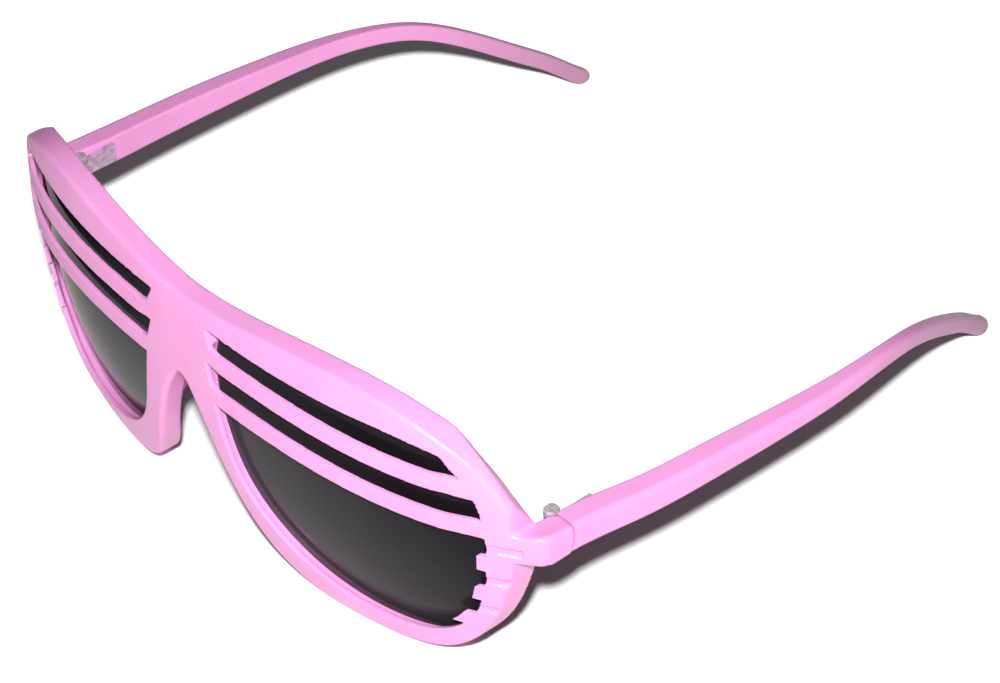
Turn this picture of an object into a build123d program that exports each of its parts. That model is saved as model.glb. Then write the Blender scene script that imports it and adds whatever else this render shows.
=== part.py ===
"""Slatted novelty glasses: a moulded front with slats over two lenses, and two folding temples.

Frame: +X to the wearer's left, +Y from the front towards the ears, +Z up. The glasses lie open on a
surface at Z = 0, on the lower rims and the temple tips. The origin is under the middle of their box.
While the pieces are made, Y = 0 is the foremost point of the bridge. All sizes are in millimetres.
"""
import os
from math import cos, radians, sin, sqrt, tan

from build123d import *

# Front, as a curved plate
FRONT_HALF_WIDTH = 71.0     # middle to the outer side of an endpiece
RIM_HALF_WIDTH = 68.4       # middle to the widest point of the rims
FRONT_HEIGHT = 56.1         # lower rim to the top of the brow
WRAP_SPAN = 70.0            # half width at which the two terms of the wrap are measured
WRAP_BOW = 8.0              # part of the wrap that grows with the square of the half width
WRAP_TURN = 10.4            # part of the wrap that grows with its fourth power
LEAN_RADIUS = 111.0         # vertical curve of the front
LEAN_LEVEL = 34.4           # height at which the front stands upright
PLATE_THICKNESS = 4.4
BROW_EDGE_RADIUS = 0.9

# Lenses, snapped into a groove behind the slats
LENS_DEPTH = 2.2            # front of the plate to the front of the lens
LENS_THICKNESS = 1.6
OPENING_NASAL = 9.0         # middle to the nasal edge of the lens opening
OPENING_WIDTH = 54.0
OPENING_BOTTOM = 5.2
OPENING_HEIGHT = 45.5
LENS_SEAT = 1.2             # cover of the rim over the edge of the lens
LENS_CLEARANCE = 0.06

# Slats and the stub ribs that carry their pattern down the outer rim
SLAT_COUNT = 2
STUB_COUNT = 3
SLAT_LEVEL = 44.7           # centre of the first slat, at mid lens
SLAT_PITCH = 7.5
SLAT_HEIGHT = 3.4
SLAT_MID = 34.0             # half width at which the slat levels are measured
SLAT_RISE = 0.8             # rise of a slat at its nasal end
SLAT_DROOP = 2.5            # fall of a slat at its outer end
SLOT_TOP = 50.4             # top of the first slot at its nasal end
SLOT_NASAL = 7.4            # middle to the nasal ends of the slots
SLOT_NASAL_SLANT = 2.4      # how far each nasal end leans outwards
STUB_REACH = 1.4            # how far a stub rib stands into the opening
GROOVE_DEPTH = 0.45         # grooves between the ribs on the outer rim
GROOVE_HEIGHT = 1.6
GROOVE_START = 60.0

# Moulded nose pads
PAD_REAR = 9.2              # bridge front to the rear of a pad
PAD_ROOT_THICKNESS = 2.9
PAD_REAR_THICKNESS = 2.1
PAD_ROOT_LENGTH = 19.0
PAD_REAR_LENGTH = 12.5
PAD_SPLAY = 1.3             # how much wider apart the pads are at the rear
PAD_CENTRE_X = 9.0
PAD_CENTRE_Z = 26.0
PAD_RISE = 2.0              # how much higher the rear of a pad is centred
PAD_TILT = 23.0             # degrees from upright

# Outer end of the brow, trimmed by a sloping plane through one point of its ridge
TRIM_X = 66.8
TRIM_Y = 15.9
TRIM_Z = 43.6
TRIM_SLOPE_OUT = 29.7       # degrees that it falls towards the side
TRIM_SLOPE_BACK = 56.3      # degrees that it falls towards the ears

# Endpieces
END_BOTTOM = 28.3
END_HEIGHT = 5.8            # at the seam
END_FRONT_RISE = 3.2        # how much higher the endpiece is where it meets the brow
SEAM = 25.5                 # bridge front to the rearmost line of the seam
SEAM_RADIUS = 9.0
SEAM_LEVEL = 32.2
SEAM_GAP = 0.1
ARM_THICKNESS = 4.6
END_CORNER_RADIUS = 2.6     # upright corner between front and side
END_EDGE_RADIUS = 0.7
END_INNER_LENGTH = 5.2      # flat inner face that carries the hinge leaf

# Temples
ARM_REACH = 114.0           # seam to the middle of the tip, straight back
ARM_INWARD = 14.5           # how far the tip lies inside the seam
ARM_TIP_RADIUS = 1.75
ARM_TIP_ANGLE = 35.0        # degrees that the tip points down
ARM_OUTER_RADIUS = 1.1      # long edges, on the outer and the inner side
ARM_INNER_RADIUS = 0.5
# Shares of the reach, and of the height over the table of the endpiece's top or underside
ARM_TOP_SHARES = ((-0.020, 1.006), (0.127, 0.959), (0.259, 0.925), (0.390, 0.887), (0.522, 0.843), (0.618, 0.803),
                  (0.712, 0.727), (0.802, 0.580), (0.899, 0.370), (0.952, 0.246))
ARM_UNDER_SHARES = ((-0.020, 1.004), (0.127, 0.956), (0.259, 0.932), (0.390, 0.912), (0.522, 0.883), (0.618, 0.840),
                    (0.700, 0.763), (0.786, 0.594), (0.882, 0.342), (0.934, 0.200))
# Shares of the reach and of the inward run
ARM_OUTER_SHARES = ((-0.020, 0.0), (0.030, -0.008), (0.127, -0.066), (0.259, -0.106), (0.390, -0.108),
                    (0.522, -0.062), (0.618, 0.055), (0.706, 0.223), (0.794, 0.462), (0.890, 0.743), (1.030, 1.050))
ARM_INNER_SHARES = ((-0.020, 0.0), (0.060, -0.010), (0.127, -0.062), (0.259, -0.112), (0.390, -0.130),
                    (0.522, -0.120), (0.618, -0.050), (0.706, 0.092), (0.794, 0.324), (0.890, 0.600), (1.030, 0.905))

# Hinges
BARREL_RADIUS = 1.4
BARREL_BITE = 0.4           # how far a barrel lies within the line of the temple's inner face
KNUCKLE_HEIGHT = 1.6
KNUCKLE_GAP = 0.06
HINGE_BOTTOM = 28.9
LEAF_THICKNESS = 1.5
LEAF_INSET = 0.7            # depth of the leaf in the plastic
LEAF_TOP_INSET = 1.2        # how far a leaf's plate ends below the top knuckle
FRONT_LEAF_LENGTH = 4.0
TEMPLE_LEAF_LENGTH = 6.4
KNUCKLE_CLEARANCE = 0.2
SCREW_RADIUS = 0.6
SCREW_FIT = 0.04
SCREW_HEAD_RADIUS = 1.1
SCREW_HEAD_HEIGHT = 0.45
SCREW_SLOT_WIDTH = 0.3
SCREW_SLOT_DEPTH = 0.25

OVERRUN = 8.0               # how far a cutting shape runs past what it cuts

AXIS_X = FRONT_HALF_WIDTH - ARM_THICKNESS + BARREL_BITE - BARREL_RADIUS
AXIS_Y = SEAM + SEAM_GAP
INNER_X = FRONT_HALF_WIDTH - ARM_THICKNESS
HINGE_HEIGHT = 3 * KNUCKLE_HEIGHT + 2 * KNUCKLE_GAP

# Half outline of the front, as shares of the half width of the rims and of the height
RIM_SHARES = ((0.0, 0.656), (0.034, 0.622), (0.066, 0.556), (0.112, 0.428), (0.147, 0.321), (0.188, 0.200),
              (0.250, 0.089), (0.330, 0.024), (0.440, 0.0), (0.560, 0.0), (0.671, 0.008), (0.755, 0.036),
              (0.820, 0.089), (0.874, 0.164), (0.923, 0.275), (0.957, 0.400), (0.972, 0.508))
BROW_SHARES = ((0.981, 0.715), (0.935, 0.797), (0.876, 0.864), (0.787, 0.930), (0.663, 0.980), (0.496, 0.998),
               (0.248, 0.975), (0.0, 0.950))
# Outline of a lens opening, as shares of its width and height
OPENING_SHARES = ((0.004, 0.86), (0.008, 0.70), (0.035, 0.54), (0.085, 0.345), (0.165, 0.200), (0.300, 0.075),
                  (0.450, 0.015), (0.618, 0.0), (0.780, 0.035), (0.905, 0.145), (0.970, 0.300), (1.0, 0.545),
                  (0.985, 0.735), (0.925, 0.880), (0.800, 0.968), (0.550, 1.0), (0.250, 1.0), (0.050, 0.975))


def wrap(x):
    """Depth of the front at a half width."""
    return WRAP_BOW * (x / WRAP_SPAN) ** 2 + WRAP_TURN * (x / WRAP_SPAN) ** 4


def wrap_slope(x):
    return (2 * WRAP_BOW * (x / WRAP_SPAN) + 4 * WRAP_TURN * (x / WRAP_SPAN) ** 3) / WRAP_SPAN


def lean(z):
    """Depth of the front at a height."""
    return (z - LEAN_LEVEL) ** 2 / (2 * LEAN_RADIUS)


def smooth(points, start, end):
    """Spline that leaves its first point and meets its last along these directions."""
    ends = (Vector(*start).normalized(), Vector(*end).normalized())
    return Spline(*points, tangents=ends, tangent_scalars=(1, 1))


def skin(near, far):
    """Half of the slab between two depths behind the surface of the front."""
    def point(x, depth):
        return (x, wrap(x) + depth * sqrt(1 + wrap_slope(x) ** 2))

    reach = FRONT_HALF_WIDTH + OVERRUN / 2
    stations = [share * reach for share in (0.0, 0.2, 0.4, 0.6, 0.8, 1.0)]
    out = (1, wrap_slope(reach))
    low = -OVERRUN / 4
    rise = FRONT_HEIGHT + OVERRUN / 2
    sections = []
    for share in (0.0, 0.25, 0.5, 0.75, 1.0):
        level = low + share * rise
        front = smooth([point(x, near) for x in stations], (1, 0), out)
        rear = smooth([point(x, far) for x in stations], (1, 0), out)
        face = make_face([front, Line(front @ 1, rear @ 1), rear, Line(rear @ 0, front @ 0)])
        sections.append(Pos(0, lean(level), level) * face)
    return loft(sections)


def through(face):
    """Front-view face, extruded right through the front."""
    return extrude(Plane.XZ * face, amount=2 * SEAM, both=True)


def scaled(shares, width, height, x=0, z=0):
    return [(x + width * u, z + height * v) for u, v in shares]


def outline_face():
    """Half outline of the rims and the brow, with the side of the endpiece."""
    rim = smooth(scaled(RIM_SHARES, RIM_HALF_WIDTH, FRONT_HEIGHT), (1, 0), (0, 1))
    brow = smooth(scaled(BROW_SHARES, RIM_HALF_WIDTH, FRONT_HEIGHT), (-1, 2), (-1, 0))
    low_corner = (FRONT_HALF_WIDTH, (rim @ 1).Y)
    high_corner = (FRONT_HALF_WIDTH, END_BOTTOM + END_HEIGHT + END_FRONT_RISE / 2)
    tab = Polyline(rim @ 1, low_corner, high_corner, brow @ 0)
    return make_face([rim, *tab.edges(), brow, Line(brow @ 1, rim @ 0)])


def opening_face(margin=0.0):
    points = scaled(OPENING_SHARES, OPENING_WIDTH + 2 * margin, OPENING_HEIGHT + 2 * margin,
                    OPENING_NASAL - margin, OPENING_BOTTOM - margin)
    return make_face(Spline(*points, periodic=True))


def slat_line(index, shift):
    """Line that follows the slat with this index, shifted up or down from its centre."""
    level = SLAT_LEVEL - index * SLAT_PITCH + shift
    return ThreePointArc((0, level + SLAT_RISE), (SLAT_MID, level), (2 * SLAT_MID, level - SLAT_DROOP))


def band(index, height=SLAT_HEIGHT):
    """Long face that follows a slat."""
    top = slat_line(index, height / 2)
    low = slat_line(index, -height / 2)
    return make_face([top, Line(top @ 1, low @ 1), low, Line(low @ 0, top @ 0)])


def slot_end(index):
    """Slanted nasal end of a slot, which runs past the nasal edge of the lens."""
    top = SLOT_TOP - index * SLAT_PITCH
    if index:
        top += SLAT_HEIGHT / 2
    low = SLAT_LEVEL - index * SLAT_PITCH
    outer = SLOT_NASAL + OVERRUN
    return make_face(Polyline((SLOT_NASAL, top), (SLOT_NASAL + SLOT_NASAL_SLANT, low),
                              (outer, low), (outer, top), close=True))


def window_face():
    """All that is open through one side of the front."""
    window = opening_face()
    for index in range(SLAT_COUNT):
        window = window + slot_end(index)
    for index in range(SLAT_COUNT):
        window = window - band(index)
    inner = opening_face(-STUB_REACH)
    outer_half = Pos(FRONT_HALF_WIDTH, FRONT_HEIGHT / 2) * Rectangle(FRONT_HALF_WIDTH, 2 * FRONT_HEIGHT)
    for index in range(SLAT_COUNT, SLAT_COUNT + STUB_COUNT):
        window = window - ((band(index) & outer_half) - inner)
    return window


def rim_groove(index):
    """Groove between two ribs, over the outer rim."""
    top = slat_line(index, GROOVE_HEIGHT / 2)
    low = slat_line(index, -GROOVE_HEIGHT / 2)
    face = make_face([top, Line(top @ 1, low @ 1), low, Line(low @ 0, top @ 0)])
    reach = Pos(GROOVE_START + SLAT_PITCH, FRONT_HEIGHT / 2) * Rectangle(2 * SLAT_PITCH, 2 * FRONT_HEIGHT)
    return face & reach


def nose_pad():
    """Pad moulded behind the nasal rim, tapering to the rear."""
    def section(y, thickness, length, x, z):
        plane = Plane(origin=(x, y, z), x_dir=(1, 0, 0), z_dir=(0, -1, 0))
        return plane * Rot(0, 0, PAD_TILT) * SlotOverall(length, thickness, rotation=90)

    root = section(LENS_DEPTH, PAD_ROOT_THICKNESS, PAD_ROOT_LENGTH, PAD_CENTRE_X, PAD_CENTRE_Z)
    rear = section(PAD_REAR, PAD_REAR_THICKNESS, PAD_REAR_LENGTH, PAD_CENTRE_X + PAD_SPLAY, PAD_CENTRE_Z + PAD_RISE)
    return loft([root, rear])


def seam_side(radius):
    """Side view of all that lies in front of the seam."""
    arc = Pos(SEAM - SEAM_RADIUS, SEAM_LEVEL) * Circle(radius)
    front = Pos(-SEAM_RADIUS, SEAM_LEVEL) * Rectangle(2 * SEAM, 4 * SEAM_RADIUS)
    return arc + front


def sideways(face):
    """Side-view face, extruded through one side of the glasses."""
    return Pos(OVERRUN, 0, 0) * extrude(Plane.YZ * face, amount=2 * FRONT_HALF_WIDTH)


def end_side():
    """Side view of the endpiece under its curved top, up to the seam."""
    top = END_BOTTOM + END_HEIGHT
    start = SEAM - END_INNER_LENGTH
    front = start - 2 * END_FRONT_RISE
    peak = top + END_FRONT_RISE
    crown = ThreePointArc((SEAM, top), (start - END_FRONT_RISE / 2, top + END_FRONT_RISE / 2), (front, peak))
    face = make_face([crown, Line((front, peak), (front, 0)), Line((front, 0), (SEAM, 0)), Line((SEAM, 0), (SEAM, top))])
    return face & seam_side(SEAM_RADIUS)


def beyond_end():
    """All that is above or behind the endpiece, outside the inner line of the temple."""
    start = SEAM - END_INNER_LENGTH
    front = start - 2 * END_FRONT_RISE
    region = make_face(Polyline((front, END_BOTTOM - OVERRUN), (3 * SEAM, END_BOTTOM - OVERRUN),
                                (3 * SEAM, FRONT_HEIGHT), (front, FRONT_HEIGHT), close=True))
    region = region - end_side()
    return Pos(INNER_X, 0, 0) * extrude(Plane.YZ * region, amount=FRONT_HALF_WIDTH)


def brow_trim():
    """Wedge over the outer end of the brow, down to the top of the endpiece."""
    fall = Vector(tan(radians(TRIM_SLOPE_OUT)), tan(radians(TRIM_SLOPE_BACK)), 1)
    plane = Plane(origin=(TRIM_X, TRIM_Y, TRIM_Z), x_dir=(0, 1, -fall.Y), z_dir=fall)
    wedge = plane * Box(FRONT_HEIGHT, FRONT_HALF_WIDTH, FRONT_HEIGHT, align=(Align.CENTER, Align.CENTER, Align.MIN))
    return wedge - sideways(end_side())


def end_block():
    """Part of the endpiece behind the plate, up to the seam."""
    start = SEAM - END_INNER_LENGTH
    plan = make_face(Polyline((INNER_X - ARM_THICKNESS / 2, start - ARM_THICKNESS),
                              (FRONT_HALF_WIDTH, start + END_CORNER_RADIUS / 6), (FRONT_HALF_WIDTH, 2 * SEAM),
                              (INNER_X, 2 * SEAM), (INNER_X, start),
                              (INNER_X - ARM_THICKNESS / 2, start - ARM_THICKNESS / 2), close=True))
    tall = Pos(0, 0, END_BOTTOM) * extrude(plan, amount=2 * END_HEIGHT)
    return tall & sideways(end_side())


def end_edges(plate):
    """Upper and lower edges of the endpiece's outer side, between its front corner and the seam."""
    flat = plate.faces().filter_by(Axis.X).filter_by(lambda face: face.center().X > RIM_HALF_WIDTH)
    edges = flat.sort_by(SortBy.AREA)[-1].edges().filter_by(lambda edge: edge.length > END_EDGE_RADIUS)
    return edges.filter_by(lambda edge: abs((edge % 0.5).Y) > abs((edge % 0.5).Z))


def knuckle(index):
    """Barrel of one knuckle, counted from below."""
    level = HINGE_BOTTOM + index * (KNUCKLE_HEIGHT + KNUCKLE_GAP)
    return Pos(AXIS_X, AXIS_Y, level) * extrude(Circle(BARREL_RADIUS), amount=KNUCKLE_HEIGHT)


def knuckle_tab(index, side):
    """Web that joins a knuckle to its leaf; side is -1 towards the front and 1 towards the temple."""
    level = HINGE_BOTTOM + index * (KNUCKLE_HEIGHT + KNUCKLE_GAP)
    outer = INNER_X + BARREL_BITE
    depth = BARREL_RADIUS + 2 * KNUCKLE_CLEARANCE
    plan = make_face(Polyline((AXIS_X, AXIS_Y), (outer, AXIS_Y), (outer, AXIS_Y + side * depth),
                              (AXIS_X, AXIS_Y + side * depth), close=True))
    return Pos(0, 0, level) * extrude(plan, amount=KNUCKLE_HEIGHT)


def leaf_plate(length, side):
    """Plate of a leaf, pressed into the plastic."""
    near = AXIS_Y + side * (BARREL_RADIUS + KNUCKLE_CLEARANCE)
    centre = near + side * length / 2
    x = INNER_X + LEAF_INSET - LEAF_THICKNESS / 2
    height = HINGE_HEIGHT - LEAF_TOP_INSET
    return Pos(x, centre, HINGE_BOTTOM + height / 2) * Box(LEAF_THICKNESS, length, height)


def pin_hole():
    return Pos(AXIS_X, AXIS_Y, HINGE_BOTTOM - OVERRUN / 2) * extrude(
        Circle(SCREW_RADIUS + SCREW_FIT), amount=HINGE_HEIGHT + OVERRUN)


def front_leaf():
    leaf = leaf_plate(FRONT_LEAF_LENGTH, -1)
    for index in (0, 2):
        leaf = leaf + knuckle(index) + knuckle_tab(index, -1)
    return leaf - pin_hole()


def temple_leaf():
    leaf = leaf_plate(TEMPLE_LEAF_LENGTH, 1) + knuckle(1) + knuckle_tab(1, 1)
    return leaf - pin_hole()


def hinge_screw():
    """Pin with a slotted head that lies on the top knuckle."""
    top = HINGE_BOTTOM + HINGE_HEIGHT
    pin = Pos(AXIS_X, AXIS_Y, HINGE_BOTTOM) * extrude(Circle(SCREW_RADIUS), amount=HINGE_HEIGHT)
    head = Pos(AXIS_X, AXIS_Y, top) * extrude(Circle(SCREW_HEAD_RADIUS), amount=SCREW_HEAD_HEIGHT)
    slot = Pos(AXIS_X, AXIS_Y, top + SCREW_HEAD_HEIGHT) * Box(
        2 * SCREW_HEAD_RADIUS, SCREW_SLOT_WIDTH, 2 * SCREW_SLOT_DEPTH)
    return pin + head - slot


def hinge_pocket():
    """Room in the plastic for the turning barrels and the screw head."""
    return Pos(AXIS_X, AXIS_Y, HINGE_BOTTOM - KNUCKLE_CLEARANCE) * extrude(
        Circle(BARREL_RADIUS + KNUCKLE_CLEARANCE), amount=HINGE_HEIGHT + 2 * SCREW_HEAD_HEIGHT)


def front_surface(plate):
    """Front one of the two large curved faces of the plate."""
    large = plate.faces().sort_by(SortBy.AREA)[-2:]
    return large.sort_by(Axis.Y)[0]


def front_half():
    plate = skin(0, PLATE_THICKNESS) & through(outline_face())
    plate = plate - brow_trim() - beyond_end()
    plate = fillet(front_surface(plate).edges().sort_by(Axis.X)[-1], END_CORNER_RADIUS)
    rim_edges = [edge for edge in front_surface(plate).edges() if edge.center().X > BROW_EDGE_RADIUS]
    plate = fillet(rim_edges, BROW_EDGE_RADIUS)
    plate = plate + end_block()
    plate = fillet(end_edges(plate), END_EDGE_RADIUS)
    plate = plate - through(window_face())
    plate = plate - (skin(LENS_DEPTH - LENS_CLEARANCE, PLATE_THICKNESS + OVERRUN) & through(opening_face()))
    groove = skin(LENS_DEPTH - LENS_CLEARANCE, LENS_DEPTH + LENS_THICKNESS + LENS_CLEARANCE)
    plate = plate - (groove & through(opening_face(LENS_SEAT + LENS_CLEARANCE)))
    for index in range(SLAT_COUNT - 1, SLAT_COUNT + STUB_COUNT):
        plate = plate - (skin(-OVERRUN, GROOVE_DEPTH) & through(rim_groove(index + 1 / 2)))
    plate = plate + (nose_pad() - through(opening_face(LENS_SEAT + LENS_CLEARANCE)))
    return plate - front_leaf() - hinge_pocket()


def front_frame():
    half = front_half()
    return half + mirror(half, about=Plane.YZ)


def lens():
    """Lens with its own clearance all round in the groove."""
    return skin(LENS_DEPTH, LENS_DEPTH + LENS_THICKNESS) & through(opening_face(LENS_SEAT))


def arm_side():
    """Side view of a temple, with a round tip that rests on the table."""
    down = radians(ARM_TIP_ANGLE)
    middle = Vector(SEAM + ARM_REACH, ARM_TIP_RADIUS)
    along = Vector(cos(down), -sin(down))
    above = Vector(sin(down), cos(down)) * ARM_TIP_RADIUS
    top = scaled(ARM_TOP_SHARES, ARM_REACH, END_BOTTOM + END_HEIGHT, SEAM) + [middle + above]
    under = scaled(ARM_UNDER_SHARES, ARM_REACH, END_BOTTOM, SEAM) + [middle - above]
    upper = smooth(top, (ARM_REACH, -ARM_THICKNESS), along)
    lower = smooth(under, (ARM_REACH, -ARM_THICKNESS), along)
    tip = ThreePointArc(upper @ 1, middle + along * ARM_TIP_RADIUS, lower @ 1)
    return make_face([upper, tip, lower, Line(lower @ 0, upper @ 0)])


def arm_plan():
    """Plan of a temple: it bows out a little, then turns in behind the ear."""
    def side(shares, start):
        return [(start - inward * ARM_INWARD, SEAM + reach * ARM_REACH) for reach, inward in shares]

    inwards = (ARM_INNER_SHARES[-2][1] - ARM_INNER_SHARES[-1][1]) * ARM_INWARD
    back = (ARM_INNER_SHARES[-1][0] - ARM_INNER_SHARES[-2][0]) * ARM_REACH
    outer = smooth(side(ARM_OUTER_SHARES, FRONT_HALF_WIDTH), (0, 1), (inwards, back))
    inner = smooth(side(ARM_INNER_SHARES, INNER_X), (0, 1), (inwards, back))
    return make_face([outer, Line(outer @ 1, inner @ 1), inner, Line(inner @ 0, outer @ 0)])


def temple():
    """Temple: its plan and its side view together, rounded along the outer and inner sides."""
    arm = sideways(arm_side()) & extrude(arm_plan(), amount=FRONT_HEIGHT)
    for direction, radius in ((1, ARM_OUTER_RADIUS), (-1, ARM_INNER_RADIUS)):
        side = arm.faces().sort_by(lambda face: direction * face.normal_at().X)[-1]
        arm = fillet(side.edges().sort_by(Axis.Y)[1:], radius)
    arm = arm - sideways(seam_side(SEAM_RADIUS + SEAM_GAP))
    return arm - temple_leaf() - hinge_pocket()


def build():
    """All pieces, by name, in the model's own frame."""
    pieces = {"front_frame": front_frame()}
    for name, make in (("lens", lens), ("temple", temple), ("hinge_front_leaf", front_leaf),
                       ("hinge_temple_leaf", temple_leaf), ("hinge_screw", hinge_screw)):
        left = make()
        pieces[name + "_left"] = left
        pieces[name + "_right"] = mirror(left, about=Plane.YZ)
    boxes = [piece.bounding_box() for piece in pieces.values()]
    front = min(box.min.Y for box in boxes)
    rear = max(box.max.Y for box in boxes)
    bottom = min(box.min.Z for box in boxes)
    home = Pos(0, -(front + rear) / 2, -bottom)
    return {name: home * piece for name, piece in pieces.items()}


os.makedirs("parts", exist_ok=True)
for node, piece in build().items():
    export_step(piece, "parts/" + node + ".step")
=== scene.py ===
from math import cos, radians, sin

import bpy
import numpy as np
from mathutils import Matrix, Vector


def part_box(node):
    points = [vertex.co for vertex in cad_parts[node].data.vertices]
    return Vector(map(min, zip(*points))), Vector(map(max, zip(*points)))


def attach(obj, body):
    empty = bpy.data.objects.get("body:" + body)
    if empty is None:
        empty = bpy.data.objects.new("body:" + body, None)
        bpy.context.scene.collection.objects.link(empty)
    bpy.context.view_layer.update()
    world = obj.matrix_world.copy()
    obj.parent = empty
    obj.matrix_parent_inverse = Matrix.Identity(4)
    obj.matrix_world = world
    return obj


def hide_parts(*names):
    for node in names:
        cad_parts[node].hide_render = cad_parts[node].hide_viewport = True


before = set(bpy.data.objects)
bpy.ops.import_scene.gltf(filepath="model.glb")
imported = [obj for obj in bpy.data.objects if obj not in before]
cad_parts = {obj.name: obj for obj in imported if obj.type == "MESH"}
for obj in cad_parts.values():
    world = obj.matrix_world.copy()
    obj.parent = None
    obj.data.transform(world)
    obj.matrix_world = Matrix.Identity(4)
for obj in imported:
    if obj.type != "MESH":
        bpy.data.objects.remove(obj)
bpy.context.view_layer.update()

# Camera at the photograph's angle: place in metres, angles in degrees, lens and sensor in millimetres
CAMERA_PLACE = (0.36682, -0.30149, 0.39820)
CAMERA_AZIMUTH = 50.64
CAMERA_ELEVATION = 39.72
CAMERA_ROLL = -2.51
CAMERA_LENS = 120.34
CAMERA_SENSOR = 36.0
CAMERA_CLIP = 0.01                  # metres

# Lamps: angles in degrees, in the sense of the camera's azimuth, distance and size in metres, power in watts
KEY_AZIMUTH = 48.9
KEY_ELEVATION = 44.8
KEY_DISTANCE = 0.62
KEY_SIZE = 0.03
KEY_POWER = 4.9
FILL_AZIMUTH = 80.0
FILL_ELEVATION = 30.0
FILL_DISTANCE = 1.2
FILL_SIZE = 0.8
FILL_POWER = 0.2
WORLD_LEVEL = 0.035

# Table
FLOOR_SIZE = 6.0                    # metres
FLOOR_LIT = (0.80, 0.78, 0.76, 1.0)      # as the table lights the object
FLOOR_SEEN = 1.25                   # as the camera sees the table straight under the object's middle
FLOOR_EVENING = 3.0                 # power of the distance to the key light that evens the seen table out
FLOOR_ROUGHNESS = 0.9

# The front's surface as in the part's source, in millimetres, and how far its middle lies before the origin
FRONT_MIDDLE = -70.635
WRAP_SPAN = 70.0                    # half width at which the bow and the turn are measured
WRAP_BOW = 8.0
WRAP_TURN = 10.4
LEAN_LEVEL = 34.4
LEAN_RADIUS = 111.0

# Slats as moulded, in millimetres. A span of half widths has a change grow over its first two, and fade over
# its last two.
SLAT_LEVELS = (44.77, 37.27)        # middle lines, at mid lens
SLAT_RISE = 0.8                     # their rise at the bridge
SLAT_CURVE = 0.000735               # their fall, with the square of the half width
SLAT_REACH = 1.95                   # half of a slat's height, with a margin
SLAT_SPANS = ((8.5, 11.0, 53.5, 58.0), (8.5, 11.0, 56.0, 61.0))
SLAT_HEIGHT_SHARE = 0.96
SLAT_DROP = 0.40

# Lower edge of the brow over the first slot, in millimetres
EAVES_LEVEL = 50.27
EAVES_MIDDLE = 40.0                 # half width at which it starts to fall
EAVES_FALL = 0.0077                 # with the square of the half width from there
EAVES_SPAN = (10.5, 13.0, 55.5, 58.5)
EAVES_FADE = 3.5                    # height over which the change fades
EAVES_FIRST = 11.5                  # half widths between which the solid's edge is found, in steps
EAVES_LAST = 57.5
EAVES_STEP = 1.0
EAVES_SEARCH_HEIGHT = 2.0           # how far above its level, and from the surface, that edge is looked for
EAVES_SEARCH_DEPTH = 1.5

# Thin lip round lens openings and slots, in front of the groove that holds the lens, in millimetres
OPENING_NASAL = 9.0
OPENING_WIDTH = 54.0
OPENING_BOTTOM = 5.2
OPENING_HEIGHT = 45.5
OPENING_SHARES = ((0.004, 0.86), (0.008, 0.70), (0.035, 0.54), (0.085, 0.345), (0.165, 0.200), (0.300, 0.075),
                  (0.450, 0.015), (0.618, 0.0), (0.780, 0.035), (0.905, 0.145), (0.970, 0.300), (1.0, 0.545),
                  (0.985, 0.735), (0.925, 0.880), (0.800, 0.968), (0.550, 1.0), (0.250, 1.0), (0.050, 0.975))
SLOT_START = (6.0, 7.0)             # half widths over which the lip's thinness grows at the slots' nasal ends
SLOT_LIMIT = 30.0                   # half width up to which the slots are thinned from these ends
SLOT_LEVELS = (36.5, 51.5)
LIP_SOLID = 2.14                    # depth of the lip and the slats in the solid
LIP_MOULDED = 0.90
LIP_REACH = (1.45, 2.2)             # gap to the opening over which the thinness fades
GROOVE_BACK = 3.86

# Where the brow runs into the endpiece it dips and is rounded more, in millimetres
CORNER_ACROSS = (60.5, 64.0)
CORNER_HEIGHT = (33.5, 37.0)
CORNER_BACK = (-50.0, -47.5)
CORNER_DIP = 1.5
CORNER_DIP_MIDDLE = 67.5
CORNER_DIP_REACH = 5.5
CORNER_SMOOTHING = 36

# Rounding of all edges of the front
MOULD_DEPTH = 9
MOULD_SHARE = 0.95
MOULD_SMOOTHING = 5
SMOOTHING_FACTOR = 0.5
MILLIMETRES = 1000.0                # in a metre

# Colours, linear
WHITE = (1.0, 1.0, 1.0, 1.0)
PINK = (0.90, 0.38, 0.75, 1.0)
PINK_DEEP = (0.86, 0.32, 0.67, 1.0)
# Painted shade: the colour the temples darken to at their tips, where the key light falls off
TIP_SHADE = (0.36, 0.21, 0.26, 1.0)
SMOKE_DARK = (0.010, 0.009, 0.011, 1.0)
SMOKE_PALE = (0.060, 0.059, 0.063, 1.0)
LEAF_METAL = ((0.40, 0.26, 0.37, 1.0), (0.66, 0.46, 0.62, 1.0))       # tarnished and clean
SCREW_METAL = ((0.45, 0.40, 0.44, 1.0), (0.85, 0.80, 0.84, 1.0))

# Noise textures by their inputs, and the stretch of each over which a colour or roughness changes
CLOUDS = {"Scale": 55.0, "Detail": 3.0, "Roughness": 0.55}
CLOUDS_STRETCH = (0.25, 0.7)
SMEARS = {"Scale": 210.0, "Detail": 4.0, "Roughness": 0.6}
SMEARS_STRETCH = (0.3, 0.75)
GRAIN = {"Scale": 2600.0, "Detail": 2.0}
GRAIN_BUMP = {"Strength": 0.06, "Distance": 0.0002}
DUST = {"Scale": 900.0, "Detail": 3.0}
DUST_STRETCH = (0.55, 0.85)
TARNISH = {"Scale": 900.0, "Detail": 4.0}
TARNISH_COLOUR_STRETCH = (0.3, 0.6)
TARNISH_ROUGH_STRETCH = (0.3, 0.7)

# Surfaces
PLASTIC_ROUGHNESS = (0.26, 0.42)
PLASTIC_IOR = 1.5
TIP_SHADE_SHARE = 0.75                  # share of painted shade at the very tip of a temple
TIP_SHADE_START_SHARE = 0.62            # where along a temple it starts
LENS_ROUGHNESS = (0.03, 0.12)
LENS_IOR = 1.49
LENS_CLEARNESS = 0.05
LENS_SHINE = 0.06
SMOKE_ACROSS_SHARE = 0.55           # weight of the half width in the lens's gradient, against the height
SMOKE_STRETCH = (0.10, 0.72)
METAL_ROUGHNESS = (0.62, 0.42)      # tarnished and clean
LEAF_METALLIC = 0.35
SCREW_METALLIC = 0.6

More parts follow.
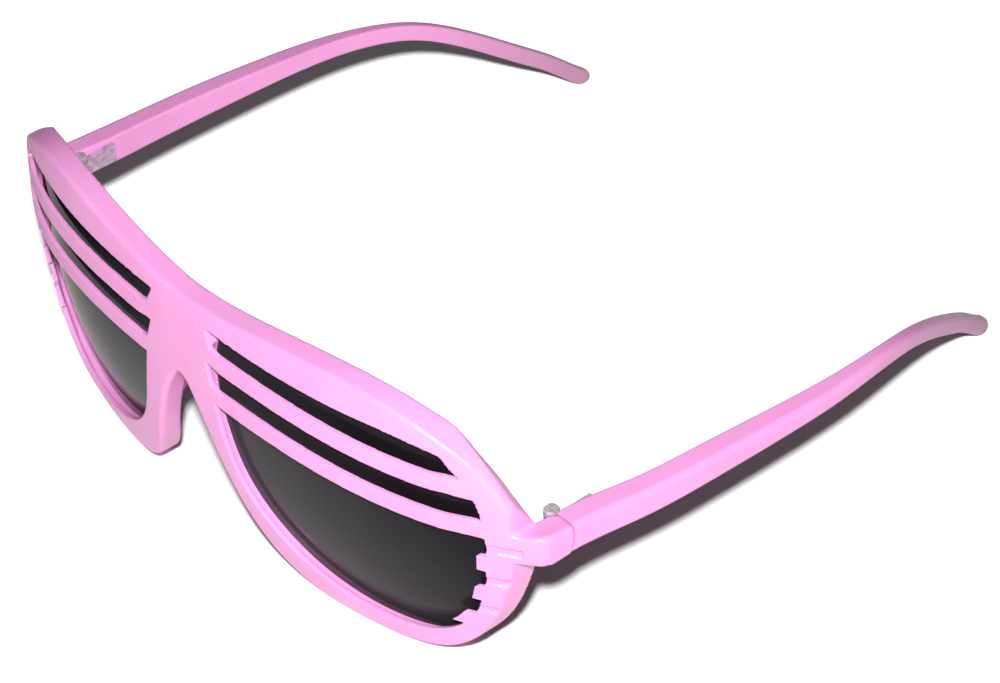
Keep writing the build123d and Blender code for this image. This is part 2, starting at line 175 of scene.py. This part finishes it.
# Sockets of the mix node for each kind of data: its factor, its two values and its result
MIX_SOCKETS = {"FLOAT": (0, 2, 3, 0), "RGBA": (0, 6, 7, 2)}


def direction(azimuth, elevation):
    """Unit vector from the object towards a place at this azimuth and elevation."""
    a, e = radians(azimuth), radians(elevation)
    return Vector((sin(a) * cos(e), -cos(a) * cos(e), sin(e)))


def make_camera():
    back = direction(CAMERA_AZIMUTH, CAMERA_ELEVATION)
    a, roll = radians(CAMERA_AZIMUTH), radians(CAMERA_ROLL)
    level = Vector((cos(a), sin(a), 0))
    upright = back.cross(level)
    right = cos(roll) * level + sin(roll) * upright
    up = -sin(roll) * level + cos(roll) * upright
    camera = bpy.data.objects.new("camera", bpy.data.cameras.new("camera"))
    camera.data.sensor_width = CAMERA_SENSOR
    camera.data.lens = CAMERA_LENS
    camera.data.clip_start = CAMERA_CLIP
    turn = Matrix((right, up, back)).transposed().to_4x4()
    camera.matrix_world = Matrix.Translation(CAMERA_PLACE) @ turn
    bpy.context.scene.collection.objects.link(camera)
    bpy.context.scene.camera = camera


def node(tree, kind, **values):
    """New shader node, with its settings and its plain inputs by name."""
    made = tree.nodes.new(kind)
    for name, value in values.items():
        if hasattr(made, name):
            setattr(made, name, value)
        else:
            made.inputs[name.replace("_", " ")].default_value = value
    return made


def material(name):
    """New material, with its node tree and its one shader."""
    made = bpy.data.materials.new(name)
    made.use_nodes = True
    tree = made.node_tree
    tree.nodes.clear()
    shader = tree.nodes.new("ShaderNodeBsdfPrincipled")
    output = tree.nodes.new("ShaderNodeOutputMaterial")
    tree.links.new(shader.outputs["BSDF"], output.inputs["Surface"])
    return made, tree, shader


def coordinate(tree, kind):
    return tree.nodes.new("ShaderNodeTexCoord").outputs[kind]


def axes(tree, place):
    """Outputs X, Y and Z of a place."""
    split = tree.nodes.new("ShaderNodeSeparateXYZ")
    tree.links.new(place, split.inputs["Vector"])
    return split.outputs


def noise(tree, place, settings):
    made = node(tree, "ShaderNodeTexNoise", **settings)
    tree.links.new(place, made.inputs["Vector"])
    return made.outputs["Fac"]


def ramp(tree, source, low, high, start, end):
    """Colour ramp between two colours, over a stretch of its input."""
    made = tree.nodes.new("ShaderNodeValToRGB")
    made.color_ramp.elements[0].position = start
    made.color_ramp.elements[0].color = low
    made.color_ramp.elements[1].position = end
    made.color_ramp.elements[1].color = high
    tree.links.new(source, made.inputs["Fac"])
    return made.outputs["Color"]


def grey(value):
    return (value, value, value, 1.0)


def roughen(tree, shader, source, levels, stretch):
    """Roughness between two levels, over a stretch of a noise."""
    rough = ramp(tree, source, grey(levels[0]), grey(levels[1]), *stretch)
    tree.links.new(rough, shader.inputs["Roughness"])


def mix(tree, kind, share, low, high):
    """Mix of two values or colours by a share, each of them plain or the output of a node."""
    made = node(tree, "ShaderNodeMix", data_type=kind)
    sockets = MIX_SOCKETS[kind]
    for socket, source in zip(sockets, (share, low, high)):
        if isinstance(source, bpy.types.NodeSocket):
            tree.links.new(source, made.inputs[socket])
        else:
            made.inputs[socket].default_value = source
    return made.outputs[sockets[-1]]


def arithmetic(tree, operation, source, value=0.0):
    """Math node on one source and, where the operation takes two, on a plain value."""
    made = node(tree, "ShaderNodeMath", operation=operation)
    tree.links.new(source, made.inputs[0])
    made.inputs[1].default_value = value
    return made.outputs["Value"]


def share_between(tree, source, low, high):
    """Where a source lies between two levels, from 0 to 1."""
    made = node(tree, "ShaderNodeMapRange", From_Min=low, From_Max=high)
    tree.links.new(source, made.inputs["Value"])
    return made.outputs["Result"]


def plastic(name, shaded_tip):
    """Glossy moulded plastic: cloudy colour, handling marks, fine scratches, and painted shade darkening a
    temple towards its tip.
    """
    made, tree, shader = material(name)
    place = coordinate(tree, "Object")
    colour = ramp(tree, noise(tree, place, CLOUDS), PINK_DEEP, PINK, *CLOUDS_STRETCH)
    # Painted shade: colour darkened towards the temple's tip, in place of the light's falloff there
    if shaded_tip:
        along = axes(tree, coordinate(tree, "Generated"))["Y"]
        tip_shade = ramp(tree, along, grey(0.0), grey(TIP_SHADE_SHARE), TIP_SHADE_START_SHARE, 1.0)
        colour = mix(tree, "RGBA", tip_shade, colour, TIP_SHADE)
    tree.links.new(colour, shader.inputs["Base Color"])
    roughen(tree, shader, noise(tree, place, SMEARS), PLASTIC_ROUGHNESS, SMEARS_STRETCH)
    bump = node(tree, "ShaderNodeBump", **GRAIN_BUMP)
    tree.links.new(noise(tree, place, GRAIN), bump.inputs["Height"])
    tree.links.new(bump.outputs["Normal"], shader.inputs["Normal"])
    shader.inputs["IOR"].default_value = PLASTIC_IOR
    return made


def lens_glass():
    """Smoke lens, darker towards its top and its outer end, with dust."""
    made, tree, shader = material("smoke_lens")
    place = coordinate(tree, "Object")
    low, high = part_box("lens_left")
    upward = share_between(tree, axes(tree, place)["Z"], low.z, high.z)
    aside = arithmetic(tree, "ABSOLUTE", axes(tree, place)["X"])
    across = share_between(tree, aside, low.x, high.x)
    level = mix(tree, "FLOAT", SMOKE_ACROSS_SHARE, upward, across)
    shade = ramp(tree, level, SMOKE_PALE, SMOKE_DARK, *SMOKE_STRETCH)
    tree.links.new(shade, shader.inputs["Base Color"])
    roughen(tree, shader, noise(tree, place, DUST), LENS_ROUGHNESS, DUST_STRETCH)
    shader.inputs["Transmission Weight"].default_value = LENS_CLEARNESS
    shader.inputs["Specular IOR Level"].default_value = LENS_SHINE
    shader.inputs["IOR"].default_value = LENS_IOR
    return made


def plated_metal(name, colours, metallic):
    """Plated metal, tarnished in spots. The colours are the tarnished one and the clean one."""
    made, tree, shader = material(name)
    tarnish = noise(tree, coordinate(tree, "Object"), TARNISH)
    colour = ramp(tree, tarnish, *colours, *TARNISH_COLOUR_STRETCH)
    tree.links.new(colour, shader.inputs["Base Color"])
    roughen(tree, shader, tarnish, METAL_ROUGHNESS, TARNISH_ROUGH_STRETCH)
    shader.inputs["Metallic"].default_value = metallic
    return made


def floor_paint():
    """White table, which the camera alone sees evened out against the key light's falloff."""
    made, tree, shader = material("floor_white")
    reach = node(tree, "ShaderNodeVectorMath", operation="DISTANCE")
    reach.inputs[1].default_value = direction(KEY_AZIMUTH, KEY_ELEVATION) * KEY_DISTANCE
    tree.links.new(tree.nodes.new("ShaderNodeNewGeometry").outputs["Position"], reach.inputs[0])
    share = arithmetic(tree, "DIVIDE", reach.outputs["Value"], KEY_DISTANCE)
    seen = arithmetic(tree, "MULTIPLY", arithmetic(tree, "POWER", share, FLOOR_EVENING), FLOOR_SEEN)
    camera_ray = tree.nodes.new("ShaderNodeLightPath").outputs["Is Camera Ray"]
    tree.links.new(mix(tree, "RGBA", camera_ray, FLOOR_LIT, seen), shader.inputs["Base Color"])
    shader.inputs["Roughness"].default_value = FLOOR_ROUGHNESS
    shader.inputs["Specular IOR Level"].default_value = 0.0
    return made


def make_stage():
    half = FLOOR_SIZE / 2
    corners = [(-half, -half, 0), (half, -half, 0), (half, half, 0), (-half, half, 0)]
    mesh = bpy.data.meshes.new("floor")
    mesh.from_pydata(corners, [], [(0, 1, 2, 3)])
    floor = bpy.data.objects.new("floor", mesh)
    floor.data.materials.append(floor_paint())
    bpy.context.scene.collection.objects.link(floor)


def area_light(name, azimuth, elevation, distance, size, power):
    """Round lamp that points at the origin."""
    lamp = bpy.data.objects.new(name, bpy.data.lights.new(name, "AREA"))
    lamp.data.shape = "DISK"
    lamp.data.size = size
    lamp.data.energy = power
    towards = direction(azimuth, elevation)
    lamp.location = towards * distance
    lamp.rotation_euler = towards.to_track_quat("Z", "Y").to_euler()
    bpy.context.scene.collection.objects.link(lamp)


def make_light():
    area_light("key", KEY_AZIMUTH, KEY_ELEVATION, KEY_DISTANCE, KEY_SIZE, KEY_POWER)
    area_light("fill", FILL_AZIMUTH, FILL_ELEVATION, FILL_DISTANCE, FILL_SIZE, FILL_POWER)
    world = bpy.data.worlds.new("world")
    world.use_nodes = True
    back = world.node_tree.nodes["Background"]
    back.inputs["Color"].default_value = WHITE
    back.inputs["Strength"].default_value = WORLD_LEVEL
    bpy.context.scene.world = world


def ease(value, start, end):
    """Smooth step from 0 at the start to 1 at the end."""
    share = np.clip((value - start) / (end - start), 0.0, 1.0)
    return share * share * (3.0 - 2.0 * share)


def within(value, span):
    """1 between the middle two values of a span, and eased to 0 at its ends."""
    return ease(value, *span[:2]) * (1.0 - ease(value, *span[2:]))


def wrap(across):
    """Depth of the front's surface at a half width."""
    share = across / WRAP_SPAN
    return WRAP_BOW * share ** 2 + WRAP_TURN * share ** 4


def wrap_slope(across):
    share = across / WRAP_SPAN
    return (2.0 * WRAP_BOW * share + 4.0 * WRAP_TURN * share ** 3) / WRAP_SPAN


def lean(height):
    """Depth of the front's surface at a height."""
    return (height - LEAN_LEVEL) ** 2 / (2.0 * LEAN_RADIUS)


def slat_line(level, across):
    """Height of a slat's middle line at a half width."""
    return level + SLAT_RISE - SLAT_CURVE * across ** 2


def lower_slats(across, height):
    """Slats a little lower and lower in height, and unchanged where they meet the rim."""
    for level, span in zip(SLAT_LEVELS, SLAT_SPANS):
        offset = height - slat_line(level, across)
        share = np.where(np.abs(offset) < SLAT_REACH, within(across, span), 0.0)
        height = height + share * ((SLAT_HEIGHT_SHARE - 1.0) * offset - SLAT_DROP)
    return height


def gap_to_opening(across, height):
    """Distance to the outline of a lens opening, and 0 inside it."""
    corners = [(OPENING_NASAL + OPENING_WIDTH * x, OPENING_BOTTOM + OPENING_HEIGHT * z)
               for x, z in OPENING_SHARES]
    gap = np.full(across.shape, np.inf)
    inside = np.zeros(across.shape, dtype=bool)
    for (x0, z0), (x1, z1) in zip(corners, corners[1:] + corners[:1]):
        run, rise = x1 - x0, z1 - z0
        along = np.clip(((across - x0) * run + (height - z0) * rise) / (run ** 2 + rise ** 2), 0.0, 1.0)
        gap = np.minimum(gap, np.hypot(across - x0 - along * run, height - z0 - along * rise))
        if rise:
            crosses = (z0 > height) != (z1 > height)
            inside ^= crosses & (across < x0 + (height - z0) * run / rise)
    return np.where(inside, 0.0, gap)


def thin_lip(across, depth, height):
    """Slats, slot ends and the edge round each lens drawn thinner, in front of the lens groove."""
    low, high = SLOT_LEVELS
    slots = ease(across, *SLOT_START) * (across < SLOT_LIMIT) * (height > low) * (height < high)
    share = np.maximum(1.0 - ease(gap_to_opening(across, height), *LIP_REACH), slots)
    thin = np.interp(depth, (0.0, LIP_SOLID, GROOVE_BACK), (0.0, LIP_MOULDED, GROOVE_BACK))
    held = (depth > 0.0) & (depth < GROOVE_BACK)
    return np.where(held, depth + share * (thin - depth), depth)


def draw_eaves(across, depth, height):
    """Even lower edge of the brow over the first slot."""
    above = height > slat_line(SLAT_LEVELS[0], across) + SLAT_REACH
    near = above & (height < EAVES_LEVEL + EAVES_SEARCH_HEIGHT) & (np.abs(depth) < EAVES_SEARCH_DEPTH)
    marks = []
    levels = []
    for mark in np.arange(EAVES_FIRST, EAVES_LAST, EAVES_STEP):
        column = height[near & (np.abs(across - mark) < EAVES_STEP / 2)]
        if len(column):
            marks.append(mark)
            levels.append(column.min())
    edge = np.interp(across, marks, levels)
    aim = EAVES_LEVEL - EAVES_FALL * np.maximum(across - EAVES_MIDDLE, 0.0) ** 2
    share = (1.0 - ease(height, edge, edge + EAVES_FADE)) * within(across, EAVES_SPAN) * above
    return height + share * (aim - edge)


def draw_front(place):
    """Moves points of the front, in millimetres, so that its slats, lips and brow are as moulded."""
    across = np.abs(place[:, 0])
    height = place[:, 2]
    surface = wrap(across) + FRONT_MIDDLE
    back = np.sqrt(1.0 + wrap_slope(across) ** 2)
    depth = (place[:, 1] - surface - lean(height)) / back
    new_height = lower_slats(across, draw_eaves(across, depth, height))
    dip = 1.0 - ease(np.abs(across - CORNER_DIP_MIDDLE), 0.0, CORNER_DIP_REACH)
    new_height = new_height - CORNER_DIP * dip * ease(height, *CORNER_HEIGHT)
    new_y = surface + lean(new_height) + thin_lip(across, depth, height) * back
    return np.column_stack((place[:, 0], new_y, new_height))


def smooth(piece, name, rounds):
    made = piece.modifiers.new(name, "SMOOTH")
    made.factor = SMOOTHING_FACTOR
    made.iterations = rounds
    return made


def soften_corners(piece, place):
    """Extra rounding where the brow runs into each endpiece, but not at the hinge."""
    weight = ease(np.abs(place[:, 0]), *CORNER_ACROSS) * ease(place[:, 2], *CORNER_HEIGHT)
    tenths = np.round(weight * (1.0 - ease(place[:, 1], *CORNER_BACK)), 1)
    group = piece.vertex_groups.new(name="corners")
    for level in np.unique(tenths[tenths > 0.0]):
        group.add(np.flatnonzero(tenths == level).tolist(), float(level), "REPLACE")
    smooth(piece, "corners", CORNER_SMOOTHING).vertex_group = group.name


def even_mesh(piece):
    """Mesh of the piece with faces of one size, so that it can be drawn anew and smoothed."""
    skin = piece.modifiers.new("mould", "REMESH")
    skin.mode = "SHARP"
    skin.octree_depth = MOULD_DEPTH
    skin.scale = MOULD_SHARE
    skin.use_remove_disconnected = False
    skin.use_smooth_shade = True
    bpy.context.view_layer.update()
    mesh = bpy.data.meshes.new_from_object(piece.evaluated_get(bpy.context.evaluated_depsgraph_get()))
    piece.modifiers.clear()
    return mesh


def moulded_front(finish):
    """The front drawn as moulded, with all its edges rounded a little."""
    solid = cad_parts["front_frame"]
    piece = bpy.data.objects.new("front_moulded", solid.data.copy())
    piece.matrix_world = solid.matrix_world
    bpy.context.scene.collection.objects.link(piece)
    mesh = even_mesh(piece)
    points = np.empty(3 * len(mesh.vertices))
    mesh.vertices.foreach_get("co", points)
    turn = np.array(piece.matrix_world.to_3x3())
    shift = np.array(piece.matrix_world.translation)
    place = draw_front((points.reshape(-1, 3) @ turn.T + shift) * MILLIMETRES)
    mesh.vertices.foreach_set("co", ((place / MILLIMETRES - shift) @ turn).ravel())
    mesh.update()
    piece.data = mesh
    smooth(piece, "soften", MOULD_SMOOTHING)
    soften_corners(piece, place)
    mesh.materials.clear()
    mesh.materials.append(finish)
    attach(piece, "front")
    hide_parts("front_frame")


def dress():
    """Materials on the solids by the start of their names, and the front as moulded."""
    front = plastic("pink_plastic_front", shaded_tip=False)
    finishes = {
        "front": front,
        # the temples carry painted shade towards their tips
        "temple": plastic("pink_plastic_temple", shaded_tip=True),
        "lens": lens_glass(),
        "hinge": plated_metal("hinge_leaf_metal", LEAF_METAL, LEAF_METALLIC),
        "hinge_screw": plated_metal("hinge_screw_metal", SCREW_METAL, SCREW_METALLIC),
    }
    for name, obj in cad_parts.items():
        kind = "hinge_screw" if name.startswith("hinge_screw") else name.split("_")[0]
        obj.data.materials.clear()
        obj.data.materials.append(finishes[kind])
    moulded_front(front)


make_camera()
make_stage()
make_light()
dress()
bpy.context.scene.view_settings.view_transform = "Standard"
